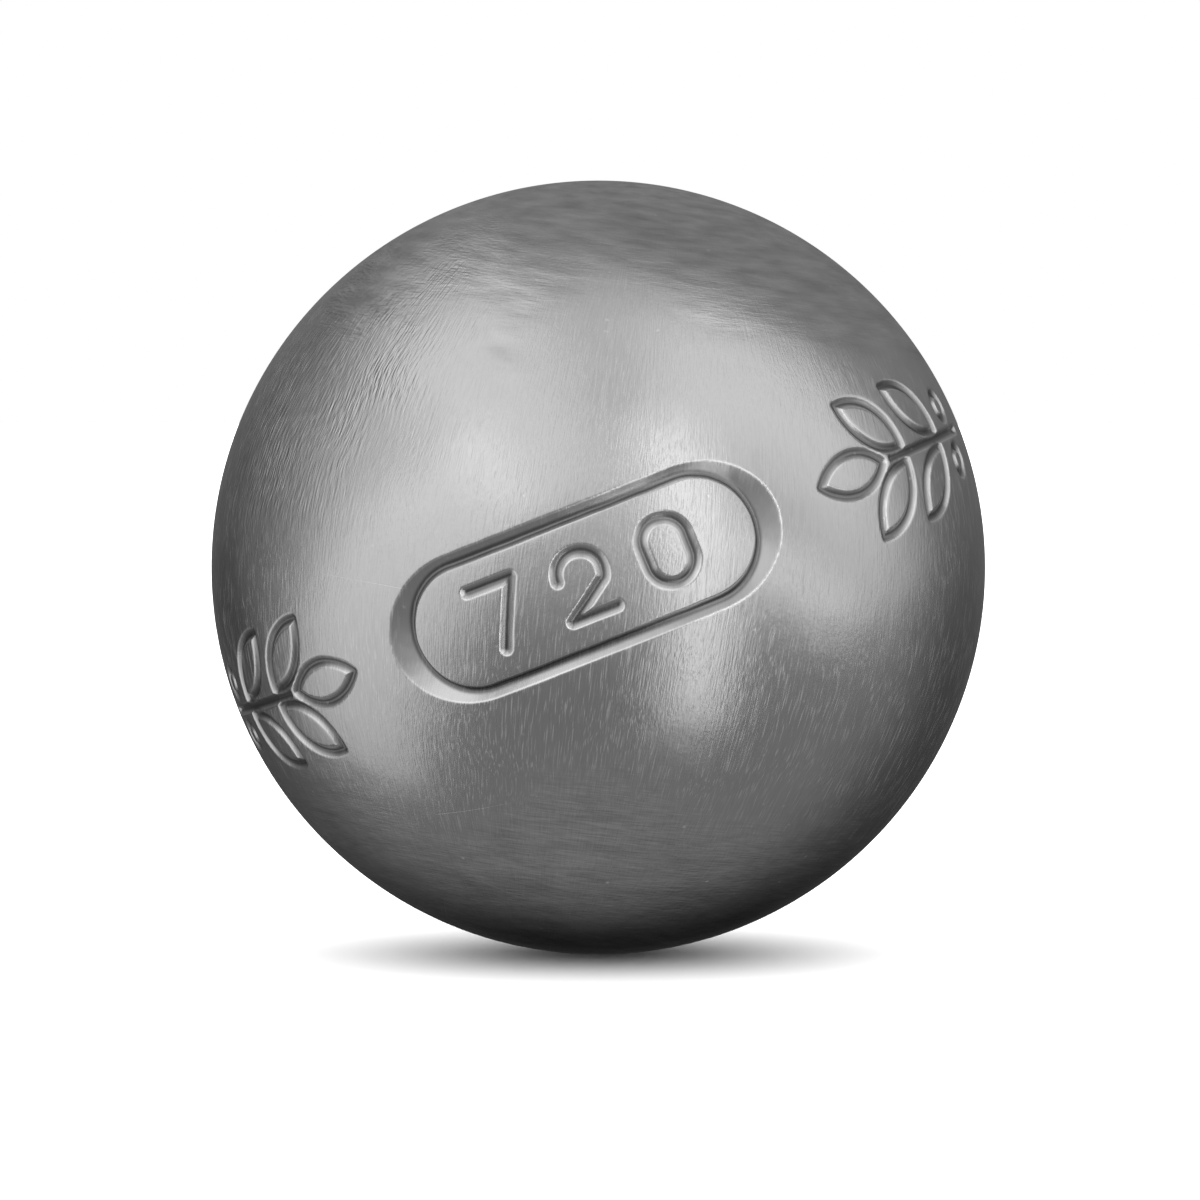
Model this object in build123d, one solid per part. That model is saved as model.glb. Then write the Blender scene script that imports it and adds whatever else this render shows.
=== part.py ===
from build123d import *
import math
import os

# Petanque boule: two hollow steel half shells joined by a weld round the ball.
# Millimetres and degrees. The origin is the ball's centre, +Z is up, and the stamped front faces -Y.
# The halves meet in the plane y = 0. Their outside carries a band of marks. The cartouche is pressed in by
# rolling a flat die round the ball, so its line bottoms out at one distance from the band's own axis. The
# figures and sprigs in the band are shallower and are each pressed in square to the ball.

# Ball
ball_diameter = 74.0
wall = 6.42

# Weld preparation round the joint
weld_angle = 50.0
weld_root_gap = 1.6
root_land = 2.2

# Centring lip on the front half, which sits in a rebate of the rear half
lip_height = 1.2
lip_thickness = 1.0
lip_clearance = 0.05

# Band of marks: its slope across the front, a line's flat bottom, and what a tool stands proud of the ball
band_slope = 21.5
crest_width = 0.3
tool_overrun = 0.3

# Oblong cartouche at the middle of the front, and how far its die sinks in at the band's middle line
press_depth = 1.1
cartouche_length = 34.0
cartouche_height = 12.0
cartouche_outer_run = 1.8
cartouche_inner_run = 0.6
cartouche_end_sections = 7

# Weight in grams, as three plain figures in the cartouche
figure_height = 6.0
figure_width = 4.2
figure_pitch = 8.0
figure_depth = 0.4
figure_run = 1.3
seven_foot_place = -0.6
two_bow_end = -30.0

# Leaf sprig on each side of the cartouche
sprig_station = 60.0
line_depth = 0.38
line_run = 1.1
leaf_length = 8.4
leaf_width = 3.8
end_leaf_place = 9.2
leaf_angle = 42.0
leaf_pairs = 2
first_pair_place = 0.6
leaf_pair_pitch = 7.4
leaf_foot_gap = 1.2
stem_start = 3.6
stem_end = -12.8
berry_place = -10.0
berry_rise = 2.7
berry_radius = 1.3

# Worked out from the values above
ball_radius = ball_diameter / 2
cavity_radius = ball_radius - wall
land_radius = cavity_radius + root_land
weld_root = weld_root_gap / 2
weld_slope = math.tan(math.radians(weld_angle / 2))
lip_radius = cavity_radius + lip_thickness
socket_radius = lip_radius + lip_clearance
socket_depth = lip_height + lip_clearance
roll_radius = ball_radius - press_depth
crest = crest_width / 2
cartouche_ridge = press_depth + tool_overrun
figure_ridge = figure_depth + tool_overrun
line_ridge = line_depth + tool_overrun


def weld_edge():
    """Where the sloped weld face runs out on the ball: distance from the Y axis, and along it."""
    start = weld_root - land_radius * weld_slope
    square = 1 + weld_slope**2
    root = math.sqrt((start * weld_slope) ** 2 - square * (start**2 - ball_radius**2))
    distance = (root - start * weld_slope) / square
    return distance, start + distance * weld_slope


def arc_about_centre(radius, start, end):
    """Arc about the ball's centre through two points of the half section."""
    middle = (Vector(*start) + Vector(*end)).normalized() * radius
    return ThreePointArc(start, middle, end)


def turned(lines):
    """Ring or shell turned about the Y axis from its closed half section."""
    return revolve(make_face(lines), Axis.Y)


def half_shell(side, joint_points, cavity_rim):
    """One half: side is -1 for the front and 1 for the rear; joint_points run from land to cavity."""
    edge_distance, edge_along = weld_edge()
    outer_edge = (edge_distance, side * edge_along)
    outer_pole = (0, side * ball_radius)
    cavity_pole = (0, side * cavity_radius)
    lines = [
        arc_about_centre(ball_radius, outer_pole, outer_edge),
        Polyline(outer_edge, (land_radius, side * weld_root), *joint_points, cavity_rim),
        arc_about_centre(cavity_radius, cavity_rim, cavity_pole),
        Line(cavity_pole, outer_pole),
    ]
    return turned(lines)


def plain_front_half():
    joint = [
        (land_radius, 0),
        (lip_radius, 0),
        (lip_radius, lip_height),
        (cavity_radius, lip_height),
    ]
    return half_shell(-1, joint, (cavity_radius, 0))


def plain_rear_half():
    joint = [(land_radius, 0), (socket_radius, 0), (socket_radius, socket_depth)]
    rim = (math.sqrt(cavity_radius**2 - socket_depth**2), socket_depth)
    return half_shell(1, joint, rim)


def weld_bead():
    """Weld metal filling the groove, turned flush with the ball."""
    edge_distance, edge_along = weld_edge()
    lines = [
        Polyline(
            (edge_distance, -edge_along),
            (land_radius, -weld_root),
            (land_radius, weld_root),
            (edge_distance, edge_along),
        ),
        ThreePointArc((edge_distance, edge_along), (ball_radius, 0), (edge_distance, -edge_along)),
    ]
    return turned(lines)


# Marks. They are laid out flat, u along the band and v across it, and then set on the ball.
# Here the band's middle line lies in the XZ plane, and u = 0, v = 0 is on +Z.


def band_turn(u):
    """Angle round the band of a place u along it."""
    return math.degrees(u / roll_radius)


def rolled(u, v):
    """Place of a point of the flat die rolled round the ball, with Z outwards and X along the band."""
    return Rot(0, band_turn(u), 0) * Pos(0, v, roll_radius)


def seated(u, v, depth):
    """Place of a tool pressed in square to the ball, with Z outwards and X along the band."""
    rise = math.degrees(math.asin(v / ball_radius))
    return Rot(0, band_turn(u), 0) * Rot(-rise, 0, 0) * Pos(0, 0, ball_radius - depth)


def ridge_profile(middle, inner_run, outer_run, height):
    """Section of a tool's ridge: a flat crest that widens towards the outside of the ball."""
    points = [
        (middle - crest, 0),
        (middle + crest, 0),
        (middle + crest + outer_run * height, height),
        (middle - crest - inner_run * height, height),
    ]
    return Polygon(*points, align=None)


def straight_ridge(start, end, run, height):
    """Ridge between two points of a tool's plane, with round ends."""
    along = Vector(*end) - Vector(*start)
    middle = (Vector(*start) + Vector(*end)) / 2
    turn = math.degrees(math.atan2(along.Y, along.X))
    foot = SlotCenterToCenter(along.length, crest_width)
    rim = SlotCenterToCenter(along.length, crest_width + 2 * run * height)
    return Pos(middle) * Rot(0, 0, turn) * loft([foot, Pos(0, 0, height) * rim])


def arc_ridge(centre, radius, start, sweep, run, height):
    """Ridge along a circular arc of a tool's plane; start and sweep are angles."""
    profile = Plane.XZ * ridge_profile(radius, run, run, height)
    return Pos(Vector(*centre)) * Rot(0, 0, start) * revolve(profile, Axis.Z, sweep)


def leaf_face(offset):
    """Pointed leaf between two equal arcs, moved out from its middle line by an offset."""
    radius = (leaf_length**2 + leaf_width**2) / (4 * leaf_width)
    centre = radius - leaf_width / 2
    tip = math.sqrt((radius + offset) ** 2 - centre**2)
    belly = radius + offset - centre
    upper = ThreePointArc((-tip, 0), (0, belly), (tip, 0))
    lower = ThreePointArc((tip, 0), (0, -belly), (-tip, 0))
    return make_face([upper, lower])


def leaf_ridge():
    """Ridge along a leaf's outline."""
    rim = crest + line_run * line_ridge
    up = Pos(0, 0, line_ridge)
    outside = loft([leaf_face(crest), up * leaf_face(rim)])
    inside = loft([leaf_face(-crest), up * leaf_face(-rim)])
    return outside - inside


def cartouche():
    """Ridge round the cartouche: two long sides and two round ends."""
    end_radius = cartouche_height / 2
    end_middle = cartouche_length / 2 - end_radius
    half_turn = band_turn(end_middle)
    profile = ridge_profile(0, cartouche_inner_run, cartouche_outer_run, cartouche_ridge)
    upright = Plane.XZ * profile

    side_profile = Pos(0, end_radius, roll_radius) * (Plane.YZ * profile)
    upper_side = Rot(0, -half_turn, 0) * revolve(side_profile, Axis.Y, 2 * half_turn)
    lower_side = Rot(0, 0, 180) * upper_side

    sections = []
    for step in range(cartouche_end_sections):
        turn = 180 * step / (cartouche_end_sections - 1) - 90
        u = end_middle + end_radius * math.cos(math.radians(turn))
        v = end_radius * math.sin(math.radians(turn))
        sections.append(rolled(u, v) * Rot(0, 0, turn) * upright)
    right_end = loft(sections)
    left_end = Rot(0, 0, 180) * right_end
    return [upper_side, lower_side, right_end, left_end]


def figure_line(start, end):
    return straight_ridge(start, end, figure_run, figure_ridge)


def figure_bow(centre, start, sweep):
    return arc_ridge(centre, figure_width / 2, start, sweep, figure_run, figure_ridge)


def figure_seven():
    half, top = figure_width / 2, figure_height / 2
    bar = figure_line((-half, top), (half, top))
    leg = figure_line((half, top), (seven_foot_place, -top))
    return [bar, leg]


def figure_two():
    half, top = figure_width / 2, figure_height / 2
    bow_middle = Vector(0, top - half)
    slant_start = bow_middle + Vector(half, 0).rotate(Axis.Z, two_bow_end)
    bow = figure_bow(bow_middle, two_bow_end, 180 - two_bow_end)
    slant = figure_line(slant_start, (-half, -top))
    foot = figure_line((-half, -top), (half, -top))
    return [bow, slant, foot]


def figure_nought():
    half, top = figure_width / 2, figure_height / 2
    bow = top - half
    ridges = [figure_bow((0, bow), 0, 180), figure_bow((0, -bow), 180, 180)]
    for side in (-half, half):
        ridges.append(figure_line((side, -bow), (side, bow)))
    return ridges


def weight_figures():
    """Weight mark in the cartouche, one figure beside the other along the band."""
    figures = [figure_seven(), figure_two(), figure_nought()]
    ridges = []
    for place, figure in enumerate(figures):
        u = (place - (len(figures) - 1) / 2) * figure_pitch
        ridges += [seated(u, 0, figure_depth) * ridge for ridge in figure]
    return ridges


def sprig(side):
    """Leaf sprig at one station of the band, its end leaf towards the cartouche; side is -1 or 1."""
    middle = side * math.radians(sprig_station) * roll_radius
    leaf = leaf_ridge()

    def place(along, across):
        return seated(middle - side * along, across, line_depth)

    ridges = [place(end_leaf_place, 0) * leaf]
    reach = leaf_length / 2 + leaf_foot_gap
    for pair in range(leaf_pairs):
        foot = first_pair_place - pair * leaf_pair_pitch
        for across in (-1, 1):
            along = foot + reach * math.cos(math.radians(leaf_angle))
            rise = across * reach * math.sin(math.radians(leaf_angle))
            ridges.append(place(along, rise) * Rot(0, 0, -side * across * leaf_angle) * leaf)
    for across in (-1, 1):
        berry = arc_ridge((0, 0), berry_radius, 0, 360, line_run, line_ridge)
        ridges.append(place(berry_place, across * berry_rise) * berry)

    stem_profile = Plane.YZ * ridge_profile(0, line_run, line_run, line_ridge)
    stem_ring = Pos(0, 0, ball_radius - line_depth) * stem_profile
    stem_from = min(middle - side * stem_start, middle - side * stem_end)
    stem = revolve(stem_ring, Axis.Y, band_turn(stem_start - stem_end))
    ridges.append(Rot(0, band_turn(stem_from), 0) * stem)
    return ridges


def marks():
    """Every tool ridge that marks one half of the ball."""
    return cartouche() + weight_figures() + sprig(-1) + sprig(1)


def band_frame():
    """Turns the marks' layout so that its middle faces the front and the band climbs to the right."""
    slope = math.radians(band_slope)
    return Plane((0, 0, 0), x_dir=(math.cos(slope), 0, math.sin(slope)), z_dir=(0, -1, 0)).location


def stamped(shell, ridges, turn):
    """Shell with the marks pressed in, turned about the band's axis."""
    place = band_frame() * Rot(0, turn, 0)
    return shell - [place * ridge for ridge in ridges]


def build():
    ridges = marks()
    return {
        "front_half_shell": stamped(plain_front_half(), ridges, 0),
        "rear_half_shell": stamped(plain_rear_half(), ridges, 180),
        "weld_bead": weld_bead(),
    }


os.makedirs("parts", exist_ok=True)
for name, piece in build().items():
    export_step(piece, f"parts/{name}.step")
    print(name, "solids", len(piece.solids()), "volume", round(piece.volume, 1))
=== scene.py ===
import math

import bpy
import numpy as np
from mathutils import Matrix, Vector, geometry, kdtree


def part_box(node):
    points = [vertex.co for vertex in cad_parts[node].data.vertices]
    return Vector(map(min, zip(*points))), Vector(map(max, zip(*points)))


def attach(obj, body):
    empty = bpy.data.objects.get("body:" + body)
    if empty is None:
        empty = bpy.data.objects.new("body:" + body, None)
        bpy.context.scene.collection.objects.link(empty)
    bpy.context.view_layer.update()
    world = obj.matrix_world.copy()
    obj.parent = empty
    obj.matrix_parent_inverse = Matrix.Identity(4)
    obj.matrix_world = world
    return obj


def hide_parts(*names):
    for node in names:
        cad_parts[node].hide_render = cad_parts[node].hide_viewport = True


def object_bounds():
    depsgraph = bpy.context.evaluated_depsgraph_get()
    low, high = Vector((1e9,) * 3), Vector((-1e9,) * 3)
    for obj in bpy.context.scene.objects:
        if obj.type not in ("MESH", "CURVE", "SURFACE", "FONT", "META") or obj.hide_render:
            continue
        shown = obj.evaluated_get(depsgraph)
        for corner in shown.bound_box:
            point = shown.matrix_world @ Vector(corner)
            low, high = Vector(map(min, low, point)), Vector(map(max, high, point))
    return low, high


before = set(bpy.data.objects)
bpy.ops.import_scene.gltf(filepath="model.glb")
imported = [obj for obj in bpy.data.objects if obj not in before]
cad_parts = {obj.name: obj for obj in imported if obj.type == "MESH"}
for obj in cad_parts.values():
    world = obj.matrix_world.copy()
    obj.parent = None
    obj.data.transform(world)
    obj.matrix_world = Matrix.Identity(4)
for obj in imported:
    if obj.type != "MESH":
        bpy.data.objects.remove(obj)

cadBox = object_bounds()
mm = 0.001
scene = bpy.context.scene

# sizes the looks share with the frame: the ball's radius and the weld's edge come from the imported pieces
ball = {
    "radius": (cadBox[1].y - cadBox[0].y) / 2,
    "wall": 6.42 * mm,
    "rootLand": 2.2 * mm,
    "weldRoot": 0.8 * mm,                       # half of the gap at the weld's root
    "weldEdge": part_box("weld_bead")[1].y,       # where the weld runs out on the ball
    "lipHeight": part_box("front_half_shell")[1].y,
    "lipThickness": 1.0 * mm,
    "lipClearance": 0.05 * mm,
    "aroundSteps": 400,
    "rimStep": 0.15 * mm,                       # narrow ring at the weld, so that its two sides shade alike
    "cavitySteps": 20,
    "crownSteps": 8,                            # across the weld
}
ball["cavity"] = ball["radius"] - ball["wall"]
ball["land"] = ball["cavity"] + ball["rootLand"]
ball["lip"] = ball["cavity"] + ball["lipThickness"]


# the band of marks: a flat die rolled round the ball, u along the band and v across it
band = {
    "slope": math.radians(21.5),
    "pressDepth": 1.1 * mm,
    "crest": 0.15 * mm,          # half of a ridge's flat top
    "edgeRound": 0.1 * mm,       # rounding where a pressed wall meets the ball
    "footRound": 0.16 * mm,      # rounding at the bottom of a line
    "waver": 0.05 * mm,          # how far a line strays from its drawn place
    "waverScale": 260.0,
    "step": 0.16 * mm,           # spacing of the mesh along a line
    "wallStep": 0.17 * mm,       # and down its walls
    "corner": math.radians(15),  # a turn that gets a fan of points round it
    "fanStep": math.radians(12),
    "edgeTries": 4,              # rounds that settle where a rolled wall ends
    "edgeRows": (-0.9, -0.3, 0.3, 0.9, 1.8),        # rows across that edge, in shares of its rounding
}
band["roll"] = ball["radius"] - band["pressDepth"]
band["front"] = Vector((0, -1, 0))
band["along"] = Vector((math.cos(band["slope"]), 0, math.sin(band["slope"])))
band["axis"] = Vector((-math.sin(band["slope"]), 0, math.cos(band["slope"])))


def arcPoints(centre, radius, start, sweep):
    count = max(6, math.ceil(abs(sweep) * radius / band["step"]))
    turns = start + sweep * np.linspace(0, 1, count + 1)
    return np.c_[centre[0] + radius * np.cos(turns), centre[1] + radius * np.sin(turns)]


def linePoints(start, end):
    start, end = np.array(start, float), np.array(end, float)
    count = max(2, math.ceil(np.linalg.norm(end - start) / band["step"]))
    return start + (end - start) * np.linspace(0, 1, count + 1)[:, None]


def joined(*runs):
    points = [runs[0]]
    for run in runs[1:]:
        points.append(run[1:] if np.allclose(run[0], points[-1][-1], atol=1e-7) else run)
    return np.vstack(points)


# cartouche, an oblong ring; its outer wall is a wide slope and its inner wall a steep one
cartouche = {"length": 34 * mm, "height": 12 * mm, "outerRun": 1.8, "innerRun": 0.6}


def cartoucheLine():
    r = cartouche["height"] / 2
    half = cartouche["length"] / 2 - r
    return joined(
        linePoints((-half, -r), (half, -r)),
        arcPoints((half, 0), r, -math.pi / 2, math.pi),
        linePoints((half, r), (-half, r)),
        arcPoints((-half, 0), r, math.pi / 2, math.pi),
    )


# the weight in grams, three plain figures
figures = {
    "height": 6.0 * mm, "width": 4.2 * mm, "pitch": 8.0 * mm, "depth": 0.4 * mm, "run": 1.3,
    "sevenFoot": -0.6 * mm, "twoBowEnd": math.radians(-30),
}


def sevenLines():
    half, top = figures["width"] / 2, figures["height"] / 2
    bar = linePoints((-half, top), (half, top))
    leg = linePoints((half, top), (figures["sevenFoot"], -top))
    return [joined(bar, leg)]


def twoLines():
    half, top = figures["width"] / 2, figures["height"] / 2
    bow = arcPoints((0, top - half), half, math.pi, figures["twoBowEnd"] - math.pi)
    return [joined(bow, linePoints(bow[-1], (-half, -top)), linePoints((-half, -top), (half, -top)))]


def noughtLines():
    half, top = figures["width"] / 2, figures["height"] / 2
    bow = top - half
    return [joined(
        linePoints((half, -bow), (half, bow)),
        arcPoints((0, bow), half, 0, math.pi),
        linePoints((-half, bow), (-half, -bow)),
        arcPoints((0, -bow), half, math.pi, math.pi),
    )]


def figureLines():
    lines = []
    for place, drawn in enumerate((sevenLines(), twoLines(), noughtLines())):
        lines += [line + [(place - 1) * figures["pitch"], 0] for line in drawn]
    return lines


# a leaf sprig on each side of the cartouche, its end leaf towards it
sprig = {
    "station": math.radians(60), "depth": 0.38 * mm, "run": 1.1,
    "leafLength": 8.4 * mm, "leafWidth": 3.8 * mm, "endLeaf": 9.2 * mm, "leafAngle": math.radians(42),
    "pairs": 2, "firstPair": 0.6 * mm, "pairPitch": 7.4 * mm, "footGap": 1.2 * mm,
    "stemStart": 3.6 * mm, "stemEnd": -12.8 * mm,
    "berry": -10.0 * mm, "berryRise": 2.7 * mm, "berryRadius": 1.3 * mm,
}


def leafLine(centre, turn):
    length, width = sprig["leafLength"], sprig["leafWidth"]
    radius = (length**2 + width**2) / (4 * width)
    drop = radius - width / 2
    reach = math.asin(length / 2 / radius)
    upper = arcPoints((0, -drop), radius, math.pi / 2 - reach, 2 * reach)
    lower = arcPoints((0, drop), radius, -math.pi / 2 - reach, 2 * reach)
    points = joined(upper, lower)
    c, s = math.cos(turn), math.sin(turn)
    return points @ np.array([[c, s], [-s, c]]) + centre


def sprigLines(side):
    middle = side * sprig["station"] * band["roll"]
    reach = sprig["leafLength"] / 2 + sprig["footGap"]
    lines = [leafLine((middle - side * sprig["endLeaf"], 0), 0)]
    for pair in range(sprig["pairs"]):
        foot = sprig["firstPair"] - pair * sprig["pairPitch"]
        for across in (-1, 1):
            u = middle - side * (foot + reach * math.cos(sprig["leafAngle"]))
            v = across * reach * math.sin(sprig["leafAngle"])
            lines.append(leafLine((u, v), -side * across * sprig["leafAngle"]))
    for across in (-1, 1):
        centre = (middle - side * sprig["berry"], across * sprig["berryRise"])
        lines.append(arcPoints(centre, sprig["berryRadius"], 0, 2 * math.pi))
    lines.append(linePoints((middle - side * sprig["stemStart"], 0), (middle - side * sprig["stemEnd"], 0)))
    return lines


# walls of each kind of mark: how far they run out for one of depth, right and left of the drawn line
marks = {
    "cartouche": {
        "lines": [cartoucheLine()],
        "runs": (cartouche["outerRun"], cartouche["innerRun"]),
        "depth": None,                            # the rolled die gives it
    },
    "figures": {"lines": figureLines(), "runs": (figures["run"],) * 2, "depth": figures["depth"]},
    "sprigs": {"lines": sprigLines(-1) + sprigLines(1), "runs": (sprig["run"],) * 2, "depth": sprig["depth"]},
}
print("marks drawn:", {name: len(mark["lines"]) for name, mark in marks.items()})


# laying the flat die on the ball, and the ball on a flat chart about its front
def onBall(u, v):
    turn = np.asarray(u) / band["roll"]
    reach = np.sqrt(np.maximum(ball["radius"] ** 2 - np.asarray(v) ** 2, 0))
    front, along, axis = (np.array(band[name]) for name in ("front", "along", "axis"))
    return np.outer(reach * np.cos(turn), front) + np.outer(reach * np.sin(turn), along) + np.outer(v, axis)


def toChart(points):
    unit = points / np.linalg.norm(points, axis=1)[:, None]
    x, y, z = (unit @ np.array(band[name]) for name in ("along", "axis", "front"))
    polar = np.arccos(np.clip(z, -1, 1))
    flat = np.maximum(np.hypot(x, y), 1e-12)
    return np.c_[x / flat, y / flat] * (polar * ball["radius"])[:, None]


def fromChart(chart):
    reach = np.hypot(chart[:, 0], chart[:, 1])
    polar = reach / ball["radius"]
    flat = np.where(reach > 1e-12, np.sin(polar) / np.maximum(reach, 1e-12), 0)
    front, along, axis = (np.array(band[name]) for name in ("front", "along", "axis"))
    sideways = np.outer(chart[:, 0] * flat, along) + np.outer(chart[:, 1] * flat, axis)
    return (sideways + np.outer(np.cos(polar), front)) * ball["radius"]


# points of the blank: rows that follow each pressed line, then a grid that opens out away from the lines
def lineRays(line):
    closed = np.allclose(line[0], line[-1], atol=1e-7)
    ahead = np.diff(line, axis=0)
    heading = np.arctan2(ahead[:, 1], ahead[:, 0])
    quarter = math.pi / 2
    rays = []                                     # u, v, the way out from the line, stretch, side

    def fan(point, start, sweep, side):
        count = math.ceil(abs(sweep) / band["fanStep"]) + 1
        for way in start + sweep * np.linspace(0, 1, count):
            rays.append((*point, way, 1.0, side))

    for i, point in enumerate(line[:-1] if closed else line):
        if not closed and i == 0:
            fan(point, heading[0] + quarter, math.pi, 1)
        elif not closed and i == len(line) - 1:
            fan(point, heading[-1] - quarter, math.pi, 1)
        else:
            turn = (heading[i] - heading[i - 1] + math.pi) % (2 * math.pi) - math.pi
            for side in (1, -1):                  # right of the line, then left
                out = heading[i - 1] - side * quarter
                if side * turn > band["corner"]:
                    fan(point, out, turn, side)
                else:
                    rays.append((*point, out + turn / 2, 1 / math.cos(turn / 2), side))
    return np.array(rays)


def wallEdge(v, outwards, run, depth):
    if depth:
        return band["crest"] + run * depth
    edge = np.full(len(v), band["crest"])
    for _ in range(band["edgeTries"]):            # the ball falls away from the die, so its wall is shorter
        depth = np.sqrt(ball["radius"] ** 2 - (v + outwards * edge) ** 2) - band["roll"]
        edge = band["crest"] + run * np.maximum(depth, 0)
    return edge


def markRows(mark):
    rows = []
    for line in mark["lines"]:
        rays = lineRays(line)
        start = rays[:, :2]
        ways = np.c_[np.cos(rays[:, 2]), np.sin(rays[:, 2])] * rays[:, 3:4]
        run = np.where(rays[:, 4] > 0, *mark["runs"])
        edge = wallEdge(start[:, 1], ways[:, 1], run, mark["depth"])
        crest = np.full(len(edge), band["crest"])
        walls = math.ceil(float(edge.max() - band["crest"]) / band["wallStep"])
        distances = [crest * 0, crest]
        distances += [edge + share * run * band["edgeRound"] for share in band["edgeRows"]]
        distances += [crest + (edge - crest) * share for share in (np.arange(walls) + 0.5) / walls]
        rows += [(start + ways * distance[:, None], distance) for distance in distances]
    return rows


blankSet = {
    "least": 0.07 * mm,          # points nearer than this to a kept one are dropped
    "slack": 0.03 * mm,          # leeway before a point counts as nearer to another line and is dropped
    "grids": ((0.32 * mm, 0.22 * mm, 0.9 * mm), (0.7 * mm, 0.9 * mm, 2.6 * mm), (1.4 * mm, 2.6 * mm, 1.0)),
    "rimGap": 0.55,              # how far a grid stays off the rim, in its own spacings
}


def blankChart():
    samples = np.vstack([line for mark in marks.values() for line in mark["lines"]])
    nearest = kdtree.KDTree(len(samples))
    for index, point in enumerate(samples):
        nearest.insert((point[0], point[1], 0), index)
    nearest.balance()
    cell = blankSet["least"]
    taken = {}
    kept = []

    def keep(flat):
        spot = (math.floor(flat[0] / cell), math.floor(flat[1] / cell))
        for i in (-1, 0, 1):
            for j in (-1, 0, 1):
                for other in taken.get((spot[0] + i, spot[1] + j), ()):
                    if (other[0] - flat[0]) ** 2 + (other[1] - flat[1]) ** 2 < cell * cell:
                        return
        taken.setdefault(spot, []).append(flat)
        kept.append(flat)

    for mark in marks.values():
        for flat, row in markRows(mark):
            for point, distance in zip(flat, row):
                near = nearest.find((point[0], point[1], 0))[2]
                if near >= distance - blankSet["slack"]:
                    keep((point[0], point[1]))
    rows = np.array(kept)
    chart = toChart(onBall(rows[:, 0], rows[:, 1]))

    rowTree = kdtree.KDTree(len(chart))
    for index, point in enumerate(chart):
        rowTree.insert((point[0], point[1], 0), index)
    rowTree.balance()
    rim = ball["radius"] * math.acos(ball["weldEdge"] / ball["radius"])
    rowRise = 0.866                               # of a grid of even triangles
    fill = []
    for pitch, near, far in blankSet["grids"]:    # spacing, and the distances from a line that it serves
        count = math.ceil(rim / pitch)
        rowCount = math.ceil(count / rowRise)
        for row in range(-rowCount, rowCount + 1):
            for column in range(-count, count + 1):
                x, y = (column + 0.5 * (row % 2)) * pitch, row * pitch * rowRise
                if math.hypot(x, y) > rim - blankSet["rimGap"] * pitch:
                    continue
                gap = rowTree.find((x, y, 0))[2]
                if near <= gap < far:
                    fill.append((x, y))
    turns = 2 * math.pi * np.arange(ball["aroundSteps"]) / ball["aroundSteps"]
    edge = np.c_[np.cos(turns), np.sin(turns)]
    inside = chart[np.hypot(chart[:, 0], chart[:, 1]) < rim - 2 * ball["rimStep"]]
    return np.vstack([rim * edge, (rim - ball["rimStep"]) * edge, inside, np.array(fill)])


def blankMesh():
    chart = blankChart()
    scaled = [Vector(point) for point in chart / mm]
    points, _, faces, *_ = geometry.delaunay_2d_cdt(scaled, [], [], 0, 1e-5)
    flat = np.array([point[:] for point in points]) * mm
    mesh = bpy.data.meshes.new("shellBlank")
    mesh.from_pydata(fromChart(flat), [], faces)
    print("blank:", len(points), "points,", len(faces), "faces")
    return mesh


blank = bpy.data.objects.new("shellBlank", blankMesh())
scene.collection.objects.link(blank)


def dieObject(name, lines):
    points, edges = [], []
    for line in lines:
        first = len(points)
        points += [(u, v, 0) for u, v in line]
        edges += [(first + i, first + i + 1) for i in range(len(line) - 1)]
    mesh = bpy.data.meshes.new(name)
    mesh.from_pydata(points, edges, [])
    made = bpy.data.objects.new(name, mesh)
    scene.collection.objects.link(made)
    return made


dies = {name: dieObject(name + "Die", marks[name]["lines"]) for name in ("figures", "sprigs")}


# node sockets as Python values: an expression adds its Math nodes
class Sock:
    def __init__(self, nodes, socket):
        self.nodes, self.socket = nodes, socket

    def maths(self, operation, *others):
        return self.nodes.add("ShaderNodeMath", {"operation": operation}, dict(enumerate((self,) + others)))

    def __add__(self, other):
        return self.maths("ADD", other)

    def __sub__(self, other):
        return self.maths("SUBTRACT", other)

    def __rsub__(self, other):
        return (self * -1) + other

    def __mul__(self, other):
        return self.maths("MULTIPLY", other)

    def __truediv__(self, other):
        return self.maths("DIVIDE", other)

    def __rtruediv__(self, other):
        return self.maths("POWER", -1.0) * other

    def __pow__(self, other):
        return self.maths("POWER", other)

    __radd__ = __add__
    __rmul__ = __mul__


class Nodes:
    def __init__(self, tree):
        self.tree = tree

    def add(self, kind, settings=None, values=None, out=0):
        node = self.tree.nodes.new(kind)
        for name, value in (settings or {}).items():
            setattr(node, name, value)
        for key, value in (values or {}).items():
            if isinstance(value, Sock):
                self.tree.links.new(value.socket, node.inputs[key])
            else:
                node.inputs[key].default_value = value
        return Sock(self, node.outputs[out]) if node.outputs else node

    def vector(self, operation, *values, out=0):
        return self.add("ShaderNodeVectorMath", {"operation": operation}, dict(enumerate(values)), out)

    def dot(self, a, b):
        return self.vector("DOT_PRODUCT", a, b, out="Value")

    def scaled(self, vector, factor):
        return self.add("ShaderNodeVectorMath", {"operation": "SCALE"}, {0: vector, "Scale": factor})

    def joined(self, x, y, z):
        return self.add("ShaderNodeCombineXYZ", None, {0: x, 1: y, 2: z})

    def eased(self, value, low, high):
        ranges = {"Value": value, "From Min": low, "From Max": high}
        return self.add("ShaderNodeMapRange", {"interpolation_type": "SMOOTHSTEP"}, ranges)

    def noise(self, vector, scale, detail=2.0, out="Fac"):
        values = {"Vector": vector, "Scale": scale, "Detail": detail}
        return self.add("ShaderNodeTexNoise", {"noise_dimensions": "3D"}, values, out)


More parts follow.
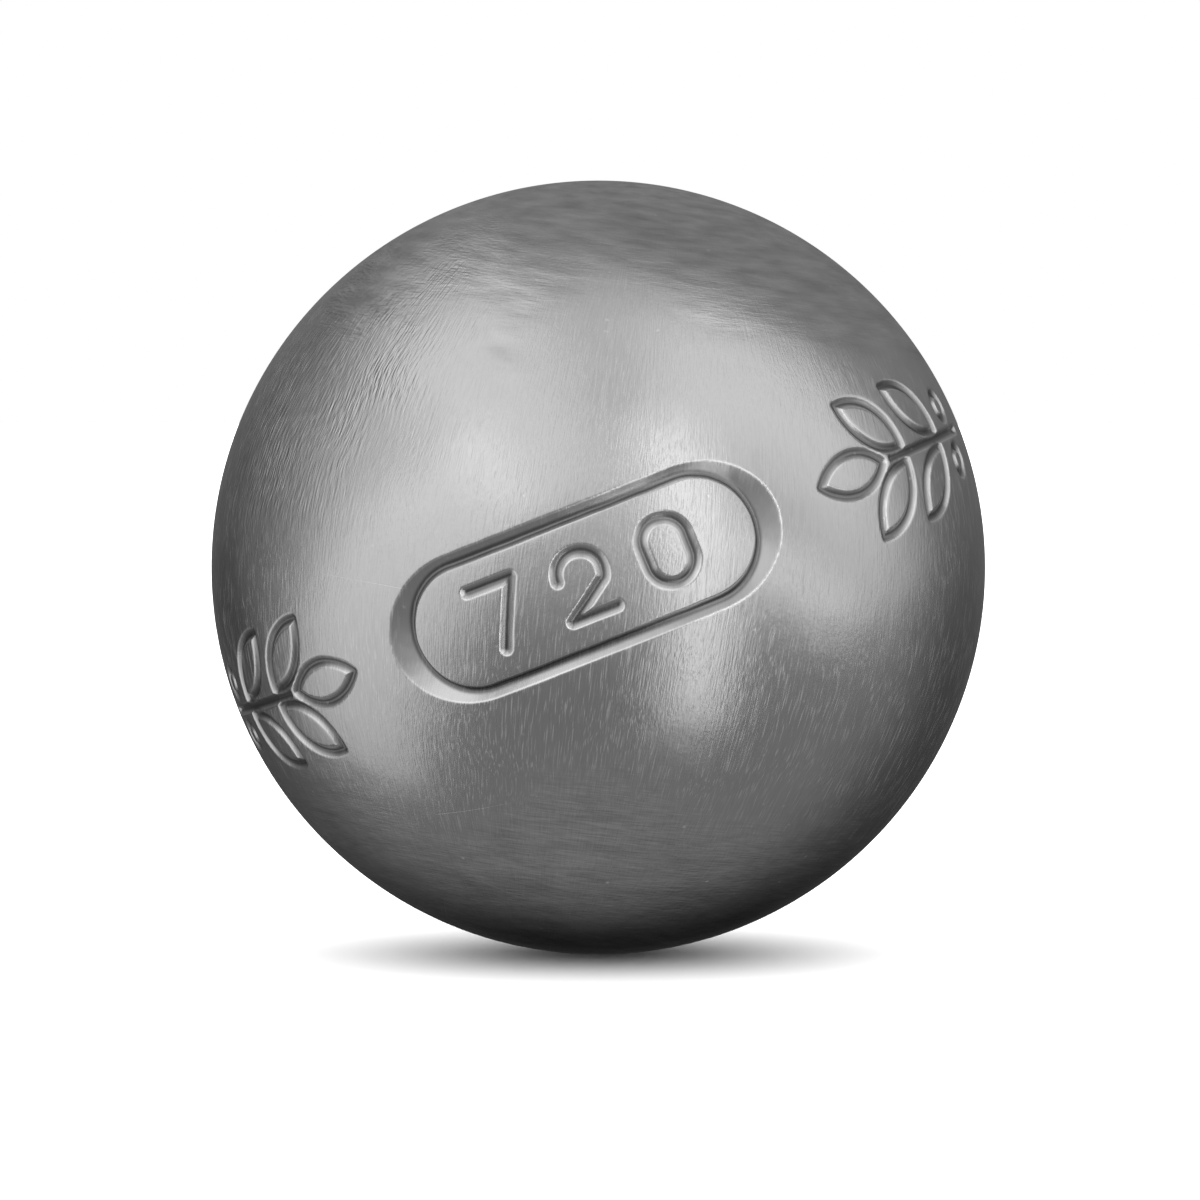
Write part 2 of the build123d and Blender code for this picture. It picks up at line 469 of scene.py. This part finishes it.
# pressing the marks: each point is looked up on the flat layout and goes in as far as the tool reaches
def rollTree():
    tree = bpy.data.node_groups.new("rollStamp", "GeometryNodeTree")
    nodes = Nodes(tree)
    sockets = {}
    inlets = {
        "NodeSocketGeometry": ("Geometry",),
        "NodeSocketFloat": ("Ball Radius", "Roll Radius", "Crest", "Edge Round", "Foot Round", "Waver",
                            "Waver Scale", "Cartouche Half", "Cartouche End", "Outer Run", "Inner Run",
                            "Figures Depth", "Figures Run", "Sprigs Depth", "Sprigs Run"),
        "NodeSocketVector": ("Front", "Along", "Axis"),
        "NodeSocketObject": ("Figures Die", "Sprigs Die"),
        "NodeSocketMaterial": ("Steel",),
    }
    for kind, names in inlets.items():
        for name in names:
            sockets[name] = tree.interface.new_socket(name, in_out="INPUT", socket_type=kind).identifier
    tree.interface.new_socket("Geometry", in_out="OUTPUT", socket_type="NodeSocketGeometry")
    given = tree.nodes.new("NodeGroupInput")
    take = {name: Sock(nodes, given.outputs[name]) for name in sockets}

    place = nodes.add("GeometryNodeInputPosition")
    v = nodes.dot(place, take["Axis"])
    toSide, toFront = nodes.dot(place, take["Along"]), nodes.dot(place, take["Front"])
    u = toSide.maths("ARCTAN2", toFront) * take["Roll Radius"]
    flat = nodes.joined(u, v, 0.0)

    def away(die):
        settings, values = {"transform_space": "ORIGINAL"}, {"Object": take[die]}
        lines = nodes.add("GeometryNodeObjectInfo", settings, values, "Geometry")
        settings, values = {"target_element": "EDGES"}, {0: lines, "Sample Position": flat}
        return nodes.add("GeometryNodeProximity", settings, values, "Distance")

    def wall(distance, run):
        return ((distance - take["Crest"]) / run).maths("SMOOTH_MAX", 0.0, take["Foot Round"])

    past = (u.maths("ABSOLUTE") - take["Cartouche Half"]).maths("MAXIMUM", 0.0)
    ring = (past * past + v * v).maths("SQRT") - take["Cartouche End"]
    inside = ring.maths("LESS_THAN", 0.0)
    run = take["Outer Run"] + inside * (take["Inner Run"] - take["Outer Run"])
    free = (take["Ball Radius"] ** 2.0 - v * v).maths("SQRT")
    offLine = ring.maths("ABSOLUTE")
    gap = take["Roll Radius"] + wall(offLine, run) - free                    # from the ball out to the tool
    for name in ("Figures", "Sprigs"):
        off = away(name + " Die")
        gap = gap.maths("MINIMUM", wall(off, take[name + " Run"]) - take[name + " Depth"])
        offLine = offLine.maths("MINIMUM", off)
    sunk = gap.maths("SMOOTH_MIN", 0.0, take["Edge Round"])

    # the hand of the die cutter: lines stray a little from their drawn place, and nothing else does;
    # the noise runs about a quarter either way, hence the 4
    depth = take["Ball Radius"] - take["Roll Radius"]
    hold = nodes.eased(gap, depth * 2.0, depth * 0.2)
    noise = nodes.noise(flat, take["Waver Scale"], out="Color")
    stray = nodes.scaled(nodes.vector("SUBTRACT", noise, (0.5, 0.5, 0.5)), hold * take["Waver"] * 4.0)
    turn = (u + nodes.dot(stray, (1, 0, 0))) / take["Roll Radius"]
    across = v + nodes.dot(stray, (0, 1, 0))

    reach = (take["Ball Radius"] ** 2.0 - across * across).maths("SQRT") + sunk
    forward = nodes.scaled(take["Front"], reach * turn.maths("COSINE"))
    sideways = nodes.scaled(take["Along"], reach * turn.maths("SINE"))
    moved = nodes.vector("ADD", nodes.vector("ADD", forward, sideways), nodes.scaled(take["Axis"], across))
    placed = nodes.add("GeometryNodeSetPosition", None, {"Geometry": take["Geometry"], "Position": moved})
    for name, value in {"pressed": sunk / -mm, "offLine": offLine / mm}.items():
        settings = {"data_type": "FLOAT", "domain": "POINT"}
        values = {0: placed, "Name": name, "Value": value}
        placed = nodes.add("GeometryNodeStoreNamedAttribute", settings, values)
    whole = nodes.add("GeometryNodeRealizeInstances", None, {"Geometry": placed})
    coated = nodes.add("GeometryNodeSetMaterial", None, {"Geometry": whole, "Material": take["Steel"]})
    nodes.add("NodeGroupOutput", None, {"Geometry": coated})
    return tree, sockets


steel = bpy.data.materials.new("brushedSteel")
weldSteel = bpy.data.materials.new("turnedWeldSteel")


def stampedMesh():
    tree, sockets = rollTree()
    modifier = blank.modifiers.new("rollStamp", "NODES")
    modifier.node_group = tree
    values = {
        "Ball Radius": ball["radius"], "Roll Radius": band["roll"], "Crest": band["crest"],
        "Edge Round": band["edgeRound"], "Foot Round": band["footRound"],
        "Waver": band["waver"], "Waver Scale": band["waverScale"],
        "Cartouche Half": (cartouche["length"] - cartouche["height"]) / 2,
        "Cartouche End": cartouche["height"] / 2,
        "Outer Run": cartouche["outerRun"], "Inner Run": cartouche["innerRun"],
        "Figures Depth": figures["depth"], "Figures Run": figures["run"],
        "Sprigs Depth": sprig["depth"], "Sprigs Run": sprig["run"],
        "Front": band["front"], "Along": band["along"], "Axis": band["axis"],
        "Figures Die": dies["figures"], "Sprigs Die": dies["sprigs"],
        "Steel": steel,
    }
    for name, value in values.items():
        modifier[sockets[name]] = value
    bpy.context.view_layer.update()
    graph = bpy.context.evaluated_depsgraph_get()
    mesh = bpy.data.meshes.new_from_object(blank.evaluated_get(graph))
    blank.modifiers.remove(modifier)
    return mesh


stamped = stampedMesh()
for scrap in [blank, *dies.values()]:
    bpy.data.objects.remove(scrap)
print("stamped:", len(stamped.vertices), "points, attributes", [a.name for a in stamped.attributes])


# closing a stamped skin to a shell: weld face, joint, lip or rebate, and the hollow inside
def jointProfile(side):
    edge, land, lip, cavity = ball["weldEdge"], ball["land"], ball["lip"], ball["cavity"]
    rim = math.sqrt(ball["radius"] ** 2 - edge**2)
    profile = [(rim, side * edge), (land, side * ball["weldRoot"]), (land, 0.0)]
    if side < 0:
        profile += [(lip, 0.0), (lip, ball["lipHeight"]), (cavity, ball["lipHeight"]), (cavity, 0.0)]
        start = 0.0
    else:
        socket, depth = lip + ball["lipClearance"], ball["lipHeight"] + ball["lipClearance"]
        start = math.asin(depth / cavity)
        profile += [(socket, 0.0), (socket, depth), (cavity * math.cos(start), depth)]
    corners = len(profile)
    for turn in np.linspace(start, math.pi / 2, ball["cavitySteps"])[1:-1]:
        profile.append((cavity * math.cos(turn), side * cavity * math.sin(turn)))
    return profile, corners


def creased(mesh, rings):
    ringOf = np.full(len(mesh.vertices), -1)
    for number, ring in enumerate(rings):
        ringOf[ring] = number
    ends = np.zeros(2 * len(mesh.edges), int)
    mesh.edges.foreach_get("vertices", ends)
    sides = ringOf[ends.reshape(-1, 2)]
    crease = mesh.attributes.new("sharp_edge", "BOOLEAN", "EDGE")
    crease.data.foreach_set("value", (sides[:, 0] == sides[:, 1]) & (sides[:, 0] >= 0))


def shellMesh(name, side):
    count = len(stamped.vertices)
    skin = np.zeros(count * 3)
    stamped.vertices.foreach_get("co", skin)
    skin = skin.reshape(-1, 3)
    if side > 0:                                  # the rear's marks are the front's, half a turn on
        axis = np.array(band["axis"])
        skin = 2 * np.outer(skin @ axis, axis) - skin
    faces = [list(face.vertices) for face in stamped.polygons]
    around = ball["aroundSteps"]
    rings = [list(range(around))]                 # the skin's edge comes first in its list of points
    points = [skin]
    spokes = skin[:around, [0, 2]] / np.linalg.norm(skin[:around, [0, 2]], axis=1)[:, None]
    total = count
    profile, corners = jointProfile(side)
    for distance, along in profile[1:]:
        points.append(np.c_[spokes[:, 0] * distance, np.full(around, along), spokes[:, 1] * distance])
        rings.append(list(range(total, total + around)))
        total += around
    points.append(np.array([[0, side * ball["cavity"], 0]]))
    for upper, lower in zip(rings, rings[1:]):
        for i in range(around):
            j = (i + 1) % around
            faces.append([upper[j], upper[i], lower[i], lower[j]])
    faces += [[rings[-1][(i + 1) % around], rings[-1][i], total] for i in range(around)]
    mesh = bpy.data.meshes.new(name)
    mesh.from_pydata(np.vstack(points), [], faces)
    mesh.update()
    for measure, elsewhere in {"pressed": 0.0, "offLine": 10.0}.items():        # in millimetres
        values = np.full(total + 1, elsewhere, np.float32)
        skinValues = np.zeros(count, np.float32)
        stamped.attributes[measure].data.foreach_get("value", skinValues)
        values[:count] = skinValues
        mesh.attributes.new(measure, "FLOAT", "POINT").data.foreach_set("value", values)
    creased(mesh, rings[:corners])
    return mesh


def weldMesh():
    edge, land, root = ball["weldEdge"], ball["land"], ball["weldRoot"]
    reach = math.asin(edge / ball["radius"])
    narrow = ball["rimStep"] / ball["radius"]
    turns = np.r_[-reach, np.linspace(narrow - reach, reach - narrow, ball["crownSteps"]), reach]
    crown = [(ball["radius"] * math.cos(t), ball["radius"] * math.sin(t)) for t in turns]
    profile = crown + [(land, root), (land, -root)]
    around = ball["aroundSteps"]
    first = np.zeros(3 * len(stamped.vertices))
    stamped.vertices.foreach_get("co", first)
    spokes = first.reshape(-1, 3)[:around, [0, 2]]
    spokes = spokes / np.linalg.norm(spokes, axis=1)[:, None]
    points = [np.c_[spokes[:, 0] * r, np.full(around, y), spokes[:, 1] * r] for r, y in profile]
    faces = []
    for k in range(len(profile)):
        nextRow = (k + 1) % len(profile)
        for i in range(around):
            j = (i + 1) % around
            faces.append([k * around + i, nextRow * around + i, nextRow * around + j, k * around + j])
    mesh = bpy.data.meshes.new("weldRing")
    mesh.from_pydata(np.vstack(points), [], faces)
    mesh.update()
    corners = [0] + [len(profile) - 3 + k for k in range(3)]
    creased(mesh, [np.arange(k * around, (k + 1) * around) for k in corners])
    return mesh


def finished(mesh, node, material):
    mesh.materials.append(material)
    mesh.polygons.foreach_set("use_smooth", [True] * len(mesh.polygons))
    piece = bpy.data.objects.new(mesh.name, mesh)
    scene.collection.objects.link(piece)
    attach(piece, "root")
    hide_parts(node)
    return piece


frontShell = finished(shellMesh("frontShell", -1), "front_half_shell", steel)
rearShell = finished(shellMesh("rearShell", 1), "rear_half_shell", steel)
weldRing = finished(weldMesh(), "weld_bead", weldSteel)
for piece in (frontShell, rearShell, weldRing):
    print(piece.name, len(piece.data.polygons), "faces")


# satin steel: brushed in short strokes down the ball, and round it near the top and the bottom
shellFinish = {
    "colour": 0.55, "colourSpread": 0.14,
    "roughness": 0.3, "roughnessSpread": 0.1, "strokeRoughness": 0.18,
    "axis": (0.12, 0.0, 0.99),                          # the strokes run down from one end of it to the other
    "sway": 0.07, "swayScale": 90.0,                    # no two strokes run quite alike
    "patchScale": 55.0, "roundPatch": 1.4,              # strokes round the ball come in patches
    "roundTop": (1.0, 0.75), "roundBottom": (1.95, 2.4),                # radians from the axis's upper end
    "dash": (125.0, 22.0), "grain": (290.0, 13.0), "smear": (24.0, 4.0),    # in a radian, across and along
    "bite": (0.2, 2.1), "biteSide": (-0.72, -0.35, 0.6), "biteFall": (0.78, 0.95),
    "clusters": (0.6, 0.8), "clusterScale": 150.0, "clusterFall": (0.36, 0.66),
    "fineFall": (0.06, 0.2), "lowFall": (0.05, -0.3),   # fine strokes are painted lighter low down, as painted glints where the steel is darkest
    "pitScale": 2600.0, "waveScale": 220.0,
    "speckScale": 430.0, "speckSize": (0.11, 0.02), "speckFew": (0.5, 0.52),
    "scratches": 16, "scratchWidth": 0.0016, "scratchSeed": 4, "scratchReach": (0.05, 0.2),     # radians
    "scratchBow": 0.3, "scratchTaper": 0.4, "scratchStrength": (0.4, 1.0),
    "groove": (0.04, 0.25), "grooveSmooth": 0.65,       # millimetres pressed in, and strokes lost there
    "wearAndHighlightFrom": (0.005, 0.03), "wearAndHighlightTo": (0.05, 0.14),    # millimetres pressed in
    "grooveShade": (0.46, 0.12),                              # millimetres from a line; painted shade, darkest along the bottom of the pressed lines
    "tone": {                                           # how much each of these lightens the steel
        # the groove entry darkens the pressed marks as painted shade
        "grain": 0.5, "grainLow": 1.0, "patches": 0.5, "smearTop": 1.8, "smearLow": 1.1, "groove": -0.1,
        "grooveShade": -1.2, "wearAndHighlight": 0.6, "scratch": 0.6, "speck": 0.4, "speckGlintLow": 1.1, "fine": 0.5,
    },
    "relief": 5e-5,                                     # metres for one of the dashes, and shares of it
    "lift": {"grain": 0.3, "pits": 0.2, "waves": 1.3, "smears": 0.8, "scratch": -0.3, "speck": -0.2},
}
weldFinish = dict(shellFinish, colour=0.52)


def hairlines(nodes, way, finish):
    draw = np.random.default_rng(finish["scratchSeed"])
    bow = finish["scratchBow"]
    lines = []
    for _ in range(finish["scratches"]):
        middle = Vector(draw.normal(size=3)).normalized()
        across = Vector(draw.normal(size=3)).cross(middle).normalized()
        across = (across + middle * draw.uniform(-bow, bow)).normalized()
        reach = draw.uniform(*finish["scratchReach"])
        off = (nodes.dot(way, across) - across.dot(middle)).maths("ABSOLUTE")
        full = math.cos(reach * finish["scratchTaper"])
        ends = nodes.eased(nodes.dot(way, middle), math.cos(reach), full)
        strength = draw.uniform(*finish["scratchStrength"])
        lines.append(nodes.eased(off, finish["scratchWidth"], 0.0) * ends * strength)
    total = lines[0]
    for line in lines[1:]:
        total = total.maths("MAXIMUM", line)
    return total


def steelFinish(material, finish):
    material.use_nodes = True
    nodes = Nodes(material.node_tree)
    shader = material.node_tree.nodes["Principled BSDF"]
    shader.inputs["Metallic"].default_value = 1.0

    # where a point lies on the axis of the brushing
    axis = Vector(finish["axis"]).normalized()
    side = axis.orthogonal().normalized()
    place = nodes.add("ShaderNodeTexCoord", out="Object")
    way = nodes.vector("NORMALIZE", place)
    height = nodes.dot(way, axis)
    polar = height.maths("ARCCOSINE")
    ring = (1 - height * height).maths("MAXIMUM", 0.01).maths("SQRT")
    sway = (nodes.noise(place, finish["swayScale"], 1.0) - 0.5) * finish["sway"]
    east = nodes.dot(way, side) / ring + sway
    north = nodes.dot(way, axis.cross(side)) / ring + sway

    # strokes down the ball give way in patches to strokes round it
    patches = nodes.noise(place, finish["patchScale"]) - 0.5
    uneven = polar + patches * finish["roundPatch"]
    top, bottom = nodes.eased(uneven, *finish["roundTop"]), nodes.eased(uneven, *finish["roundBottom"])
    rounded = top.maths("MAXIMUM", bottom)

    def brushed(across, along):
        down = nodes.noise(nodes.joined(east * across, north * across, polar * along), 1.0, 1.0)
        around = nodes.noise(nodes.joined(east * along, north * along, polar * across), 1.0, 1.0)
        return (down - 0.5) * (1 - 0.5 * rounded) + (around - 0.5) * rounded

    shallow, deep = finish["bite"]
    bite = shallow + (deep - shallow) * nodes.eased(nodes.dot(way, finish["biteSide"]), *finish["biteFall"])
    least, more = finish["clusters"]
    clusters = nodes.eased(nodes.noise(place, finish["clusterScale"], 1.0), *finish["clusterFall"])
    clusters = least + more * clusters
    dashes = brushed(*finish["dash"]) * bite * clusters
    grain = brushed(*finish["grain"])
    across, along = finish["smear"]
    smears = nodes.noise(nodes.joined(east * along, north * along, polar * across), 1.0) - 0.5
    pits = nodes.noise(place, finish["pitScale"], 1.0) - 0.5
    waves = nodes.noise(place, finish["waveScale"], 1.0) - 0.5

    # pressed marks are smoother; their edges are lighter, partly wear and partly a painted highlight, and
    # their lines carry painted shade; specks and hairlines lie over everything
    pressed = nodes.add("ShaderNodeAttribute", {"attribute_name": "pressed"}, None, "Fac")
    offLine = nodes.add("ShaderNodeAttribute", {"attribute_name": "offLine"}, None, "Fac")
    groove = nodes.eased(pressed, *finish["groove"])
    # edge lightening: partly wear, partly a painted highlight along the pressed edges
    wearAndHighlight = nodes.eased(pressed, *finish["wearAndHighlightFrom"]) * (1 - nodes.eased(pressed, *finish["wearAndHighlightTo"]))
    # painted shade: the pressed marks are darkened towards the bottom of their lines, where shade falls
    grooveShade = nodes.eased(offLine, *finish["grooveShade"]) * groove
    cells = {"Vector": place, "Scale": finish["speckScale"]}
    speck = nodes.eased(nodes.add("ShaderNodeTexVoronoi", None, cells, "Distance"), *finish["speckSize"])
    picked = nodes.dot(nodes.add("ShaderNodeTexVoronoi", None, cells, "Color"), (1, 0, 0))
    speck = speck * nodes.eased(picked, *finish["speckFew"])
    scratch = hairlines(nodes, way, finish)
    plain = 1 - finish["grooveSmooth"] * groove
    fine = nodes.eased(grain, *finish["fineFall"]) * (1 - rounded) * plain

    share = finish["tone"]
    tone = 0.5 + grain * (share["grain"] + share["grainLow"] * bottom) * plain + share["patches"] * patches
    tone = tone + smears * (share["smearLow"] * bottom + share["smearTop"] * top)
    # painted shade darkens the pressed marks, most along the bottom of their lines; their edges are
    # lightened, partly as wear and partly as a painted highlight
    tone = tone + share["groove"] * groove + share["grooveShade"] * grooveShade + share["wearAndHighlight"] * wearAndHighlight
    # specks are nicks, lightened everywhere and further low down as painted glints
    tone = tone + share["scratch"] * scratch + (share["speck"] + share["speckGlintLow"] * bottom) * speck
    # painted glints: fine strokes lightened on the lower, darker part of the ball
    tone = tone + share["fine"] * nodes.eased(height, *finish["lowFall"]) * fine
    dark = finish["colour"] - finish["colourSpread"]
    light = finish["colour"] + finish["colourSpread"]
    colours = {0: tone, 6: (dark, dark, dark, 1), 7: (light, light, light, 1)}
    colour = nodes.add("ShaderNodeMix", {"data_type": "RGBA", "clamp_factor": False}, colours, 2)
    rough = finish["roughness"] + finish["roughnessSpread"] * patches + finish["strokeRoughness"] * fine
    share = finish["lift"]
    relief = (dashes + share["grain"] * grain + share["pits"] * pits) * plain + share["waves"] * waves
    relief = relief + share["smears"] * smears * top + share["scratch"] * scratch + share["speck"] * speck
    heights = {"Strength": 1.0, "Distance": finish["relief"], "Height": relief}
    bump = nodes.add("ShaderNodeBump", None, heights)
    for name, value in {"Base Color": colour, "Roughness": rough, "Normal": bump}.items():
        material.node_tree.links.new(value.socket, shader.inputs[name])


steelFinish(steel, shellFinish)
steelFinish(weldSteel, weldFinish)
print("steel finishes made")


# floor, light and camera
stageSet = {"floorSize": 6.0, "floorColour": 0.9, "floorRoughness": 0.9, "floorLight": 2.6}


def floorPlane():
    half = stageSet["floorSize"] / 2
    low = -ball["radius"]
    mesh = bpy.data.meshes.new("floor")
    corners = [(-half, -half, low), (half, -half, low), (half, half, low), (-half, half, low)]
    mesh.from_pydata(corners, [], [(0, 1, 2, 3)])
    paint = bpy.data.materials.new("paleFloor")
    paint.use_nodes = True
    shader = paint.node_tree.nodes["Principled BSDF"]
    shader.inputs["Base Color"].default_value = (*[stageSet["floorColour"]] * 3, 1)
    shader.inputs["Roughness"].default_value = stageSet["floorRoughness"]
    shader.inputs["Specular IOR Level"].default_value = 0.0
    mesh.materials.append(paint)
    floor = bpy.data.objects.new("floor", mesh)
    scene.collection.objects.link(floor)
    floor.visible_glossy = False                  # the steel shows the softboxes and the room, not the floor


# what the steel mirrors round the softboxes: a pale tent in front, dark below and dark behind
room = {
    "front": 0.69, "below": 0.25, "behind": 0.27, "behindBelow": 0.0,
    "upperFall": (0.05, 0.21), "lowerFall": (0.12, 0.74),       # from front to back, above and below
    "floorFall": (0.62, -0.55),                                 # from above to below
    "lowLeft": 0.1, "lowRight": 0.045,                          # a little light low down at both sides
    "lowSideFall": (0.15, 0.5), "lowBackFall": (0.15, 0.6), "lowFall": (-0.1, -0.4),
    "darkLeft": 0.55, "darkLeftFall": (-0.35, -0.6), "darkBackFall": (0.5, 0.8),
    "underBall": 0.25,                                          # the ball throws little light on the floor
}


def roomLight():
    world = bpy.data.worlds.new("room")
    scene.world = world
    world.use_nodes = True
    world.node_tree.nodes.clear()
    nodes = Nodes(world.node_tree)
    way = nodes.add("ShaderNodeTexCoord", out="Generated")
    side, back, height = (nodes.dot(way, axis) for axis in ((1, 0, 0), (0, 1, 0), (0, 0, 1)))
    low = nodes.eased(height, *room["floorFall"])
    upper = room["front"] + nodes.eased(back, *room["upperFall"]) * (room["behind"] - room["front"])
    lower = room["below"] + nodes.eased(back, *room["lowerFall"]) * (room["behindBelow"] - room["below"])
    left = room["lowLeft"] * nodes.eased(side * -1.0, *room["lowSideFall"])
    right = room["lowRight"] * nodes.eased(side, *room["lowSideFall"])
    reach = nodes.eased(back, *room["lowBackFall"]) * nodes.eased(height, *room["lowFall"])
    lower = lower + (left + right) * reach
    dark = nodes.eased(side, *room["darkLeftFall"]) * nodes.eased(back, *room["darkBackFall"])
    upper = upper * (1 - room["darkLeft"] * dark)
    bounced = nodes.add("ShaderNodeLightPath", out="Diffuse Depth").maths("MINIMUM", 1.0)
    under = 1 - bounced * (1 - room["underBall"])
    mirrored = nodes.add("ShaderNodeBackground", None, {"Strength": (upper + low * (lower - upper)) * under})
    soft = nodes.add("ShaderNodeBackground", None, {"Strength": stageSet["floorLight"]})
    white = nodes.add("ShaderNodeBackground", None, {"Strength": 1.0})
    for background in (mirrored, soft, white):
        background.socket.node.inputs["Color"].default_value = (1, 1, 1, 1)
    diffuse = nodes.add("ShaderNodeLightPath", out="Is Diffuse Ray")
    camera = nodes.add("ShaderNodeLightPath", out="Is Camera Ray")
    lit = nodes.add("ShaderNodeMixShader", None, {0: diffuse, 1: mirrored, 2: soft})
    seen = nodes.add("ShaderNodeMixShader", None, {0: camera, 1: lit, 2: white})
    nodes.add("ShaderNodeOutputWorld", None, {"Surface": seen})


softBoxes = {
    "leftBox": {"turn": -61, "rise": -6, "roll": -41, "away": 0.6, "size": (0.5, 1.38), "glow": 0.57},
    "rightBox": {"turn": 30, "rise": 1, "roll": 6, "away": 0.6, "size": (0.16, 1.16), "glow": 1.42},
    "stripBox": {"turn": 60, "rise": -2, "roll": 60, "away": 0.6, "size": (0.13, 0.47), "glow": 0.86},
    "sideBox": {"turn": 79, "rise": 32, "roll": 26, "away": 0.6, "size": (0.42, 1.17), "glow": 0.38},
    "topBox": {"turn": -55, "rise": 55, "roll": -25, "away": 0.6, "size": (1.51, 0.38), "glow": 0.4},
}


def facing(turn, rise):
    turn, rise = math.radians(turn), math.radians(rise)
    return Vector((math.sin(turn) * math.cos(rise), -math.cos(turn) * math.cos(rise), math.sin(rise)))


def softBox(name, box):
    light = bpy.data.lights.new(name, "AREA")
    light.shape = "RECTANGLE"
    light.size, light.size_y = box["size"]
    light.energy = box["glow"] * math.pi * box["size"][0] * box["size"][1]
    made = bpy.data.objects.new(name, light)
    scene.collection.objects.link(made)
    back = facing(box["turn"], box["rise"])
    made.location = back * box["away"]
    right = Vector((0, 0, 1)).cross(back).normalized()
    up = back.cross(right)
    roll = math.radians(box["roll"])
    right, up = right * math.cos(roll) + up * math.sin(roll), up * math.cos(roll) - right * math.sin(roll)
    made.rotation_euler = Matrix((right, up, back)).transposed().to_euler()
    made.visible_diffuse = False


view = {
    "turn": 2.1, "rise": 2.2, "lens": 200.0, "sensor": 36.0, "clip": (0.01, 50),
    "image": 1200, "ballCentre": (598.3, 567.6), "ballRadius": 387.0,       # pixels of the photograph
}


def photoCamera():
    camera = bpy.data.cameras.new("camera")
    camera.lens, camera.sensor_width = view["lens"], view["sensor"]
    camera.clip_start, camera.clip_end = view["clip"]
    focal = view["image"] * view["lens"] / view["sensor"]
    spread = math.atan(view["ballRadius"] / focal)
    away = ball["radius"] / math.sin(spread)
    back = facing(view["turn"], view["rise"])
    right = Vector((0, 0, 1)).cross(back).normalized()
    up = back.cross(right)
    sideways = (view["ballCentre"][0] - view["image"] / 2) / focal
    upwards = (view["image"] / 2 - view["ballCentre"][1]) / focal
    aim = (back + right * sideways + up * upwards).normalized()
    made = bpy.data.objects.new("camera", camera)
    scene.collection.objects.link(made)
    made.location = back * away
    made.rotation_euler = aim.to_track_quat("Z", "Y").to_euler()
    scene.camera = made


floorPlane()
roomLight()
for name, box in softBoxes.items():
    softBox(name, box)
photoCamera()
scene.view_settings.view_transform = "Standard"
print("stage set")
